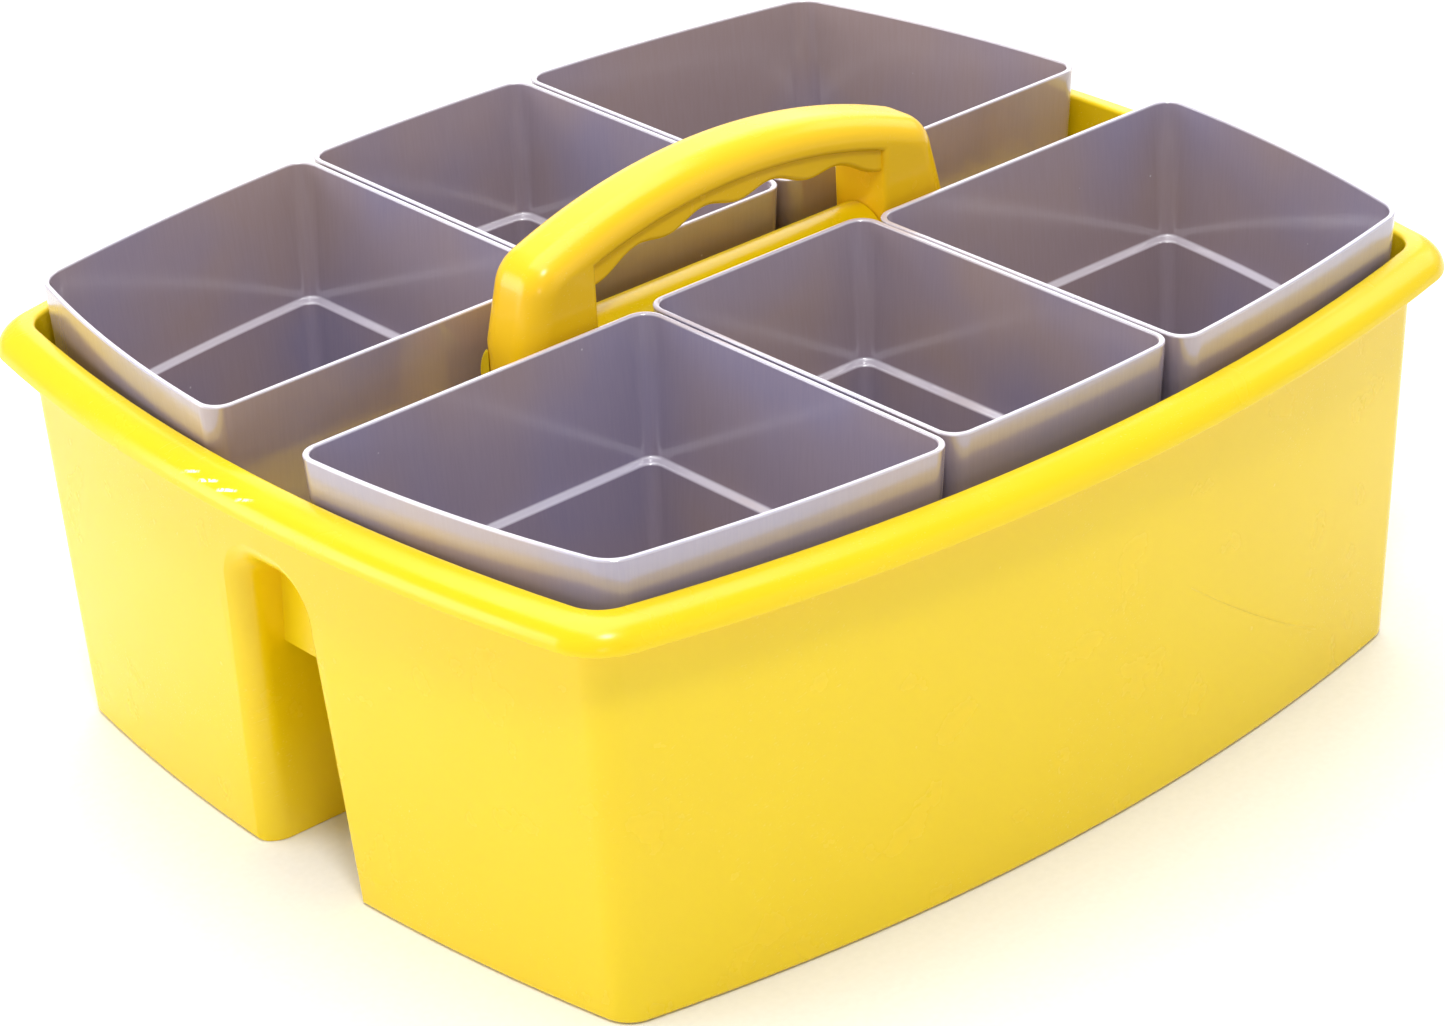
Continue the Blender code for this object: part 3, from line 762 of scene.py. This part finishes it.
def cup_section():
    """Heights and insets of the moulded wall: up the outside, over the lip, down the inside."""
    section = []
    for angle in fan(5):
        section.append((CUP_BOTTOM + CUP_FOOT * (1 - math.cos(angle)),
                        LEDGE_WIDTH + CUP_FOOT * (1 - math.sin(angle))))
    ledge_foot = LEDGE_Z - LEDGE_FALL
    edge = LEDGE_EDGE
    under = LEDGE_Z - CUP_WALL
    section += [(0.5 * under, LEDGE_WIDTH), (under - LEDGE_FALL - edge, LEDGE_WIDTH)]
    section += [(under - LEDGE_FALL, LEDGE_WIDTH - edge), (under, edge), (under + edge, 0.0)]
    lip = fan(4)[:-1]
    for angle in lip:
        section.append((CUP_TOP - CUP_LIP_EDGE * (1 - math.sin(angle)),
                        CUP_LIP_EDGE * (1 - math.cos(angle))))
    section.append((CUP_TOP, CUP_WALL / 2))
    for angle in reversed(lip):
        section.append((CUP_TOP - CUP_LIP_EDGE * (1 - math.sin(angle)),
                        CUP_WALL - CUP_LIP_EDGE * (1 - math.cos(angle))))
    for angle in fan(4):
        section.append((LEDGE_Z + edge * (1 - math.sin(angle)), CUP_WALL + edge * (1 - math.cos(angle))))
    deep = LEDGE_WIDTH + CUP_WALL
    for angle in fan(4):
        section.append((ledge_foot - edge * (1 - math.cos(angle)), deep - edge * (1 - math.sin(angle))))
    floor = CUP_BOTTOM + CUP_WALL
    section.append((0.5 * LEDGE_Z, deep))
    for angle in fan(5, QUARTER, 0.0):
        section.append((floor + CUP_FOOT * (1 - math.cos(angle)), deep + CUP_FOOT * (1 - math.sin(angle))))
    return section


def make_cup(name, column, row):
    """One lift-out cup, stepped in at a stacking ledge part of the way down."""
    shift = settled(name, column, row)
    outlines = []
    for z, inset in cup_section():
        outlines.append(lambda z=z, inset=inset: cup_outline(column, row, shift, z, inset))
    cup = skin(name + "_moulding", outlines)
    smooth(cup)
    return cup


# ---------------------------------------------------------------- materials

# Marks on the tub, in millimetres; the scuffs' half length is a share of their pitch.
SCUFF_PITCH = 7.8
SCUFF_START_Y = -11.0
SCUFF_ROW_Y = 4.6
SCUFF_ROW_HALF = 15.6
SCUFF_X = -161.5
SCUFF_SLANT = 1.9
SCUFF_HALF_WIDTH = 0.42
SCUFF_HALF_LENGTH = 0.46
SCRATCH_X = 49.0
SCRATCH_Z = 52.2
SCRATCH_SLOPE = -0.745
SCRATCH_CURVE = 0.0019
SCRATCH_MIDDLE = 20.0
SCRATCH_HALF_LENGTH = 32.0
SCRATCH_HALF_WIDTH = 0.36
FRONT_WALL_Y = -120.0


def colour(code):
    """Linear colour from an sRGB hex code."""
    channels = [int(code[i:i + 2], 16) / 255 for i in (1, 3, 5)]
    linear = [c / 12.92 if c <= 0.04045 else ((c + 0.055) / 1.055) ** 2.4 for c in channels]
    return (*linear, 1.0)


def add(tree, kind, inputs=None, **settings):
    """Adds a node with its settings, and fills its inputs with values or other nodes' outputs."""
    node = tree.nodes.new(kind)
    for name, value in settings.items():
        setattr(node, name, value)
    for key, value in (inputs or {}).items():
        if isinstance(value, bpy.types.NodeSocket):
            tree.links.new(value, node.inputs[key])
        else:
            node.inputs[key].default_value = value
    return node


def plastic(name, ior):
    """A new material, its tree and shader, and the piece's own coordinates in millimetres."""
    material = bpy.data.materials.new(name)
    material.use_nodes = True
    tree = material.node_tree
    shader = tree.nodes["Principled BSDF"]
    shader.inputs["IOR"].default_value = ior
    place = add(tree, "ShaderNodeTexCoord").outputs["Object"]
    millimetres = add(tree, "ShaderNodeVectorMath", {0: place, "Scale": 1000.0}, operation="SCALE")
    return material, tree, shader, millimetres.outputs[0]


def stripe(tree, offset, half_width, strength):
    """Soft-edged line: `strength` where the offset from its middle is nil, gone at its edge."""
    away = add(tree, "ShaderNodeMath", {0: offset}, operation="ABSOLUTE").outputs[0]
    return add(tree, "ShaderNodeMapRange", {0: away, 1: 0.4 * half_width, 2: half_width, 3: strength,
                                            4: 0.0}).outputs[0]


def rim_scuffs(tree, place):
    """Four short slanting rubs in a row on the rim's left end, each about 7 mm long."""
    x, y, _ = add(tree, "ShaderNodeSeparateXYZ", {0: place}).outputs
    step = add(tree, "ShaderNodeMath", {0: y, 1: 1 / SCUFF_PITCH, 2: -SCUFF_START_Y / SCUFF_PITCH},
               operation="MULTIPLY_ADD")
    share = add(tree, "ShaderNodeMath", {0: step.outputs[0]}, operation="FRACT").outputs[0]
    slant = add(tree, "ShaderNodeMath", {0: share, 1: SCUFF_SLANT, 2: -SCUFF_X},
                operation="MULTIPLY_ADD")
    offset = add(tree, "ShaderNodeMath", {0: x, 1: slant.outputs[0]}, operation="ADD").outputs[0]
    line = stripe(tree, offset, SCUFF_HALF_WIDTH, 1.0)
    middle = add(tree, "ShaderNodeMath", {0: share, 1: 0.5}, operation="SUBTRACT").outputs[0]
    length = stripe(tree, middle, SCUFF_HALF_LENGTH, 1.0)
    along = add(tree, "ShaderNodeMath", {0: y, 1: SCUFF_ROW_Y}, operation="SUBTRACT").outputs[0]
    row = stripe(tree, along, SCUFF_ROW_HALF, 2.0)
    # The rubs are broken up at about 1 mm, where the worn plastic skips.
    broken = add(tree, "ShaderNodeTexNoise", {"Vector": place, "Scale": 1 / 0.9, "Detail": 1.0})
    patchy = add(tree, "ShaderNodeMapRange", {0: broken.outputs["Fac"], 1: 0.36, 2: 0.56})
    rubs = add(tree, "ShaderNodeMath", {0: line, 1: length}, operation="MULTIPLY").outputs[0]
    bounds = add(tree, "ShaderNodeMath", {0: row, 1: patchy.outputs[0]}, operation="MULTIPLY")
    return add(tree, "ShaderNodeMath", {0: rubs, 1: bounds.outputs[0]}, operation="MULTIPLY").outputs[0]


def wall_scratch(tree, place):
    """One long hairline down the front wall, drawn 0.5 mm wide so that it shows at all."""
    x, y, z = add(tree, "ShaderNodeSeparateXYZ", {0: place}).outputs
    reach = add(tree, "ShaderNodeMath", {0: x, 1: SCRATCH_X}, operation="SUBTRACT").outputs[0]
    slope = add(tree, "ShaderNodeMath", {0: reach, 1: SCRATCH_CURVE, 2: SCRATCH_SLOPE},
                operation="MULTIPLY_ADD").outputs[0]
    fall = add(tree, "ShaderNodeMath", {0: reach, 1: slope, 2: SCRATCH_Z}, operation="MULTIPLY_ADD")
    offset = add(tree, "ShaderNodeMath", {0: z, 1: fall.outputs[0]}, operation="SUBTRACT").outputs[0]
    line = stripe(tree, offset, SCRATCH_HALF_WIDTH, 1.0)
    along = add(tree, "ShaderNodeMath", {0: reach, 1: SCRATCH_MIDDLE}, operation="SUBTRACT").outputs[0]
    length = stripe(tree, along, SCRATCH_HALF_LENGTH, 1.0)
    front = add(tree, "ShaderNodeMath", {0: y, 1: FRONT_WALL_Y}, operation="LESS_THAN").outputs[0]
    mark_on = add(tree, "ShaderNodeMath", {0: line, 1: length}, operation="MULTIPLY").outputs[0]
    return add(tree, "ShaderNodeMath", {0: mark_on, 1: front}, operation="MULTIPLY").outputs[0]


def hairlines(tree, place, turn, spacing, width):
    """Faint rubbed hairlines that lie one way, broken up so that only a few of them show."""
    turned = add(tree, "ShaderNodeMapping", {0: place, 2: turn})
    stretch = add(tree, "ShaderNodeVectorMath", {0: turned.outputs[0], 1: (0.05, 1.0, 1.0)},
                  operation="MULTIPLY")
    lines = add(tree, "ShaderNodeTexNoise", {"Vector": stretch.outputs[0], "Scale": 1 / width,
                                             "Detail": 2.0})
    thin = add(tree, "ShaderNodeMapRange", {0: lines.outputs["Fac"], 1: 0.66, 2: 0.74}).outputs[0]
    areas = add(tree, "ShaderNodeTexNoise", {"Vector": place, "Scale": 1 / spacing, "Detail": 1.0})
    some = add(tree, "ShaderNodeMapRange", {0: areas.outputs["Fac"], 1: 0.5, 2: 0.68}).outputs[0]
    return add(tree, "ShaderNodeMath", {0: thin, 1: some}, operation="MULTIPLY").outputs[0]


def gloss_and_relief(tree, shader, place, gloss, peel_depth, rubbed):
    """Gloss that wanders between two roughnesses, over orange peel 3 mm across and rubbed lines."""
    polish = add(tree, "ShaderNodeTexNoise", {"Vector": place, "Scale": 1 / 18, "Detail": 4.0})
    wander = add(tree, "ShaderNodeMapRange", {0: polish.outputs["Fac"], 1: 0.35, 2: 0.65,
                                              3: gloss[0], 4: gloss[1]})
    dull = add(tree, "ShaderNodeMath", {0: rubbed, 1: 0.25, 2: wander.outputs[0]},
               operation="MULTIPLY_ADD")
    tree.links.new(dull.outputs[0], shader.inputs["Roughness"])
    peel = add(tree, "ShaderNodeTexNoise", {"Vector": place, "Scale": 1 / 3.0, "Detail": 1.5})
    swell = add(tree, "ShaderNodeBump", {"Height": peel.outputs["Fac"], "Strength": 1.0,
                                         "Distance": peel_depth})
    grain = add(tree, "ShaderNodeTexNoise", {"Vector": place, "Scale": 1 / 0.5, "Detail": 2.0})
    fine = add(tree, "ShaderNodeBump", {"Height": grain.outputs["Fac"], "Strength": 1.0,
                                        "Distance": 0.000004, "Normal": swell.outputs[0]})
    cut = add(tree, "ShaderNodeBump", {"Height": rubbed, "Strength": 1.0, "Distance": 0.00002,
                                       "Normal": fine.outputs[0]}, invert=True)
    tree.links.new(cut.outputs[0], shader.inputs["Normal"])


def yellow_polypropylene(name, deep, light, scuffed):
    """Injection-moulded polypropylene: glossy lemon yellow that turns orange in its own folds."""
    material, tree, shader, place = plastic(name, 1.49)
    # Pigment drifts over about 60 mm, where the melt flowed.
    drift = add(tree, "ShaderNodeTexNoise", {"Vector": place, "Scale": 1 / 60, "Detail": 3.0})
    tint = add(tree, "ShaderNodeMix", {0: drift.outputs["Fac"], 6: colour(deep), 7: colour(light)},
               data_type="RGBA").outputs[2]
    rubbed = hairlines(tree, place, (0.3, 0.2, 0.6), 40.0, 0.5)
    faint = add(tree, "ShaderNodeMath", {0: rubbed, 1: 0.14}, operation="MULTIPLY").outputs[0]
    tint = add(tree, "ShaderNodeMix", {0: faint, 6: tint, 7: colour("#FFF07A")},
               data_type="RGBA").outputs[2]
    if scuffed:
        scratch = wall_scratch(tree, place)
        shade = add(tree, "ShaderNodeMath", {0: scratch, 1: 0.3}, operation="MULTIPLY").outputs[0]
        tint = add(tree, "ShaderNodeMix", {0: shade, 6: tint, 7: colour("#C9A70C")},
                   data_type="RGBA").outputs[2]
        scuffs = rim_scuffs(tree, place)
        tint = add(tree, "ShaderNodeMix", {0: scuffs, 6: tint, 7: colour("#FFFFE6")},
                   data_type="RGBA").outputs[2]
        marks = add(tree, "ShaderNodeMath", {0: scratch, 1: scuffs}, operation="ADD").outputs[0]
        rubbed = add(tree, "ShaderNodeMath", {0: marks, 1: rubbed}, operation="MAXIMUM").outputs[0]
    tree.links.new(tint, shader.inputs["Base Color"])
    gloss_and_relief(tree, shader, place, (0.20, 0.28), 0.00002, rubbed)
    return material


def grey_polypropylene():
    """Thin-walled smoke-grey polypropylene: a purple cast, fine draw lines, tiny pale specks."""
    material, tree, shader, place = plastic("smoke_grey_moulded_polypropylene", 1.58)
    drift = add(tree, "ShaderNodeTexNoise", {"Vector": place, "Scale": 1 / 70, "Detail": 2.0})
    cast = add(tree, "ShaderNodeMapRange", {0: drift.outputs["Fac"], 1: 0.38, 2: 0.62}).outputs[0]
    tint = add(tree, "ShaderNodeMix", {0: cast, 6: colour("#A89493"), 7: colour("#988FA8")},
               data_type="RGBA").outputs[2]
    # Draw lines run down the walls, about 0.7 mm apart and some 20 mm long.
    stretch = add(tree, "ShaderNodeVectorMath", {0: place, 1: (1.0, 1.0, 0.03)}, operation="MULTIPLY")
    draw = add(tree, "ShaderNodeTexNoise", {"Vector": stretch.outputs[0], "Scale": 1 / 0.7,
                                            "Detail": 3.0})
    lines = add(tree, "ShaderNodeMapRange", {0: draw.outputs["Fac"], 1: 0.35, 2: 0.65}).outputs[0]
    faint = add(tree, "ShaderNodeMath", {0: lines, 1: 0.06}, operation="MULTIPLY").outputs[0]
    tint = add(tree, "ShaderNodeMix", {0: faint, 6: tint, 7: colour("#C9BFC6")},
               data_type="RGBA").outputs[2]
    # Pale specks about 0.6 mm across, in four of every ten cells 9 mm wide.
    cells = add(tree, "ShaderNodeTexVoronoi", {"Vector": place, "Scale": 1 / 9})
    speck = stripe(tree, cells.outputs["Distance"], 0.045, 1.0)
    chosen = add(tree, "ShaderNodeSeparateXYZ", {0: cells.outputs["Color"]}).outputs[0]
    rare = add(tree, "ShaderNodeMath", {0: chosen, 1: 0.6}, operation="GREATER_THAN").outputs[0]
    specks = add(tree, "ShaderNodeMath", {0: speck, 1: rare}, operation="MULTIPLY").outputs[0]
    faint = add(tree, "ShaderNodeMath", {0: specks, 1: 0.55}, operation="MULTIPLY").outputs[0]
    tint = add(tree, "ShaderNodeMix", {0: faint, 6: tint, 7: colour("#F2EEF4")},
               data_type="RGBA").outputs[2]
    # The lip and the stacking ledge are painted paler: a painted highlight where these edges catch the
    # light.
    height = add(tree, "ShaderNodeSeparateXYZ", {0: place}).outputs[2]
    lip = add(tree, "ShaderNodeMapRange", {0: height, 1: 1000 * CUP_TOP - 0.7, 2: 1000 * CUP_TOP - 0.2})
    step = add(tree, "ShaderNodeMath", {0: height, 1: 1000 * LEDGE_Z - 0.1}, operation="SUBTRACT")
    ledge = stripe(tree, step.outputs[0], 0.9, 1.0)
    lip_and_ledge_painted_highlight = add(tree, "ShaderNodeMath", {0: lip.outputs[0], 1: ledge}, operation="MAXIMUM").outputs[0]
    faint = add(tree, "ShaderNodeMath", {0: lip_and_ledge_painted_highlight, 1: 0.5}, operation="MULTIPLY").outputs[0]
    tint = add(tree, "ShaderNodeMix", {0: faint, 6: tint, 7: colour("#E9E5F2")},
               data_type="RGBA").outputs[2]
    tree.links.new(tint, shader.inputs["Base Color"])
    # The walls mirror the yellow rim beside them. Polypropylene's IOR is about 1.49: the base and
    # this clear coat are set higher, only to bring that reflection up.
    shader.inputs["Coat Weight"].default_value = 1.0
    shader.inputs["Coat IOR"].default_value = 1.95
    shader.inputs["Coat Roughness"].default_value = 0.13
    shallow = add(tree, "ShaderNodeMath", {0: lines, 1: 0.2}, operation="MULTIPLY").outputs[0]
    gloss_and_relief(tree, shader, place, (0.16, 0.22), 0.000015, shallow)
    return material


def white_paper():
    """Matt white backdrop paper: pale, faintly fibrous, with no gloss."""
    material = bpy.data.materials.new("white_backdrop_paper")
    material.use_nodes = True
    tree = material.node_tree
    shader = tree.nodes["Principled BSDF"]
    place = add(tree, "ShaderNodeTexCoord").outputs["Object"]
    # Fibre clumps are drawn 2 mm across, coarser than real ones, so that they show.
    fibre = add(tree, "ShaderNodeTexNoise", {"Vector": place, "Scale": 1 / 0.002, "Detail": 2.0})
    tint = add(tree, "ShaderNodeMix", {0: fibre.outputs["Fac"], 6: colour("#F2F2F0"),
                                       7: colour("#FAFAF9")}, data_type="RGBA").outputs[2]
    tree.links.new(tint, shader.inputs["Base Color"])
    shader.inputs["Roughness"].default_value = 0.9
    return material


# ---------------------------------------------------------------- assembly

def fit(piece, node, body, material):
    piece.data.materials.clear()
    piece.data.materials.append(material)
    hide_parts(node)
    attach(piece, body)


tub_yellow = yellow_polypropylene("yellow_tub_polypropylene", "#EDCA02", "#F0D206", True)
# The handle gets a warmer, brighter copy of the tub's yellow: painted glow standing in for the warm light
# its plastic shows in shade.
handle_yellow_painted_glow = yellow_polypropylene("yellow_handle_polypropylene", "#FCC810", "#FDCE1C", False)
grey = grey_polypropylene()
fit(make_tub(), "tub", "caddy", tub_yellow)
fit(make_handle(), "handle", "caddy", handle_yellow_painted_glow)
for cup_name, (cup_column, cup_row) in CUPS.items():
    fit(make_cup(cup_name, cup_column, cup_row), cup_name, cup_name, grey)


# ---------------------------------------------------------------- studio

# Azimuth, elevation and roll in degrees; the lens in millimetres.
VIEW_ANGLES = (-40.48, 27.35, -2.79)
VIEW_TARGET_Z = 0.0483
VIEW_DISTANCE = 1.2453
VIEW_LENS = 113.7
VIEW_SHIFT = -0.0074


def lay_floor():
    bpy.ops.object.select_all(action="DESELECT")
    bpy.ops.mesh.primitive_plane_add(size=6, location=(0, 0, -0.0002))
    bpy.ops.object.transform_apply(location=True, rotation=True, scale=True)
    floor = bpy.context.object
    floor.name = "backdrop"
    floor.data.materials.append(white_paper())


def hang_light(name, place, target_z, size, power):
    """A soft white panel aimed at the caddy's middle."""
    bpy.ops.object.light_add(type="AREA", location=place)
    lamp = bpy.context.object
    lamp.name = name
    lamp.data.shape = "RECTANGLE"
    lamp.data.size, lamp.data.size_y = size
    lamp.data.energy = power
    aim = Vector((0, 0, target_z)) - Vector(place)
    lamp.rotation_euler = aim.to_track_quat("-Z", "Y").to_euler()


def aim_spot(name, place, target, cone, power):
    """A soft-edged spot that fills in the handle, with a little spill on the cups and front wall."""
    bpy.ops.object.light_add(type="SPOT", location=place)
    lamp = bpy.context.object
    lamp.name = name
    lamp.data.energy = power
    lamp.data.spot_size = cone
    lamp.data.spot_blend = 1.0
    lamp.data.shadow_soft_size = 0.2
    lamp.rotation_euler = (Vector(target) - Vector(place)).to_track_quat("-Z", "Y").to_euler()


def fill_room(strength):
    world = bpy.data.worlds.new("white_room")
    bpy.context.scene.world = world
    world.use_nodes = True
    background = world.node_tree.nodes["Background"]
    background.inputs["Color"].default_value = (1.0, 1.0, 1.0, 1.0)
    background.inputs["Strength"].default_value = strength


def stand_camera():
    """Camera at its bearing, height and slight roll, looking at a point above the floor."""
    azimuth, elevation, roll = (math.radians(angle) for angle in VIEW_ANGLES)
    back = Vector((math.sin(azimuth) * math.cos(elevation),
                   -math.cos(azimuth) * math.cos(elevation), math.sin(elevation)))
    level = Vector((math.cos(azimuth), math.sin(azimuth), 0))
    upright = back.cross(level)
    right = math.cos(roll) * level + math.sin(roll) * upright
    above = math.cos(roll) * upright - math.sin(roll) * level
    turned = Matrix((right, above, back)).transposed().to_4x4()
    bpy.ops.object.camera_add()
    camera = bpy.context.object
    stand = Vector((0, 0, VIEW_TARGET_Z)) + back * VIEW_DISTANCE
    camera.matrix_world = Matrix.Translation(stand) @ turned
    camera.data.lens = VIEW_LENS
    camera.data.shift_x = VIEW_SHIFT
    bpy.context.scene.camera = camera


lay_floor()
hang_light("overhead", (0.0, 0.3, 1.6), 0.1, (1.6, 1.6), 21)
hang_light("back_panel", (0.95, 1.1, 0.8), 0.1, (1.6, 1.2), 8)
hang_light("back_left_panel", (-1.3, 0.9, 0.4), 0.05, (1.0, 0.7), 8)
hang_light("front_panel", (0.6, -1.5, 0.6), 0.05, (1.0, 1.0), 1.5)
hang_light("right_panel", (1.5, -0.1, 0.9), 0.05, (0.8, 0.8), 3)
hang_light("key_lamp", (-0.55, -0.75, 1.5), 0.1, (0.25, 0.25), 9)
aim_spot("handle_spot", (-0.9, -1.05, 0.45), (0, 0, 0.142), math.radians(8), 22)
fill_room(0.52)
stand_camera()
bpy.context.scene.view_settings.view_transform = "Standard"
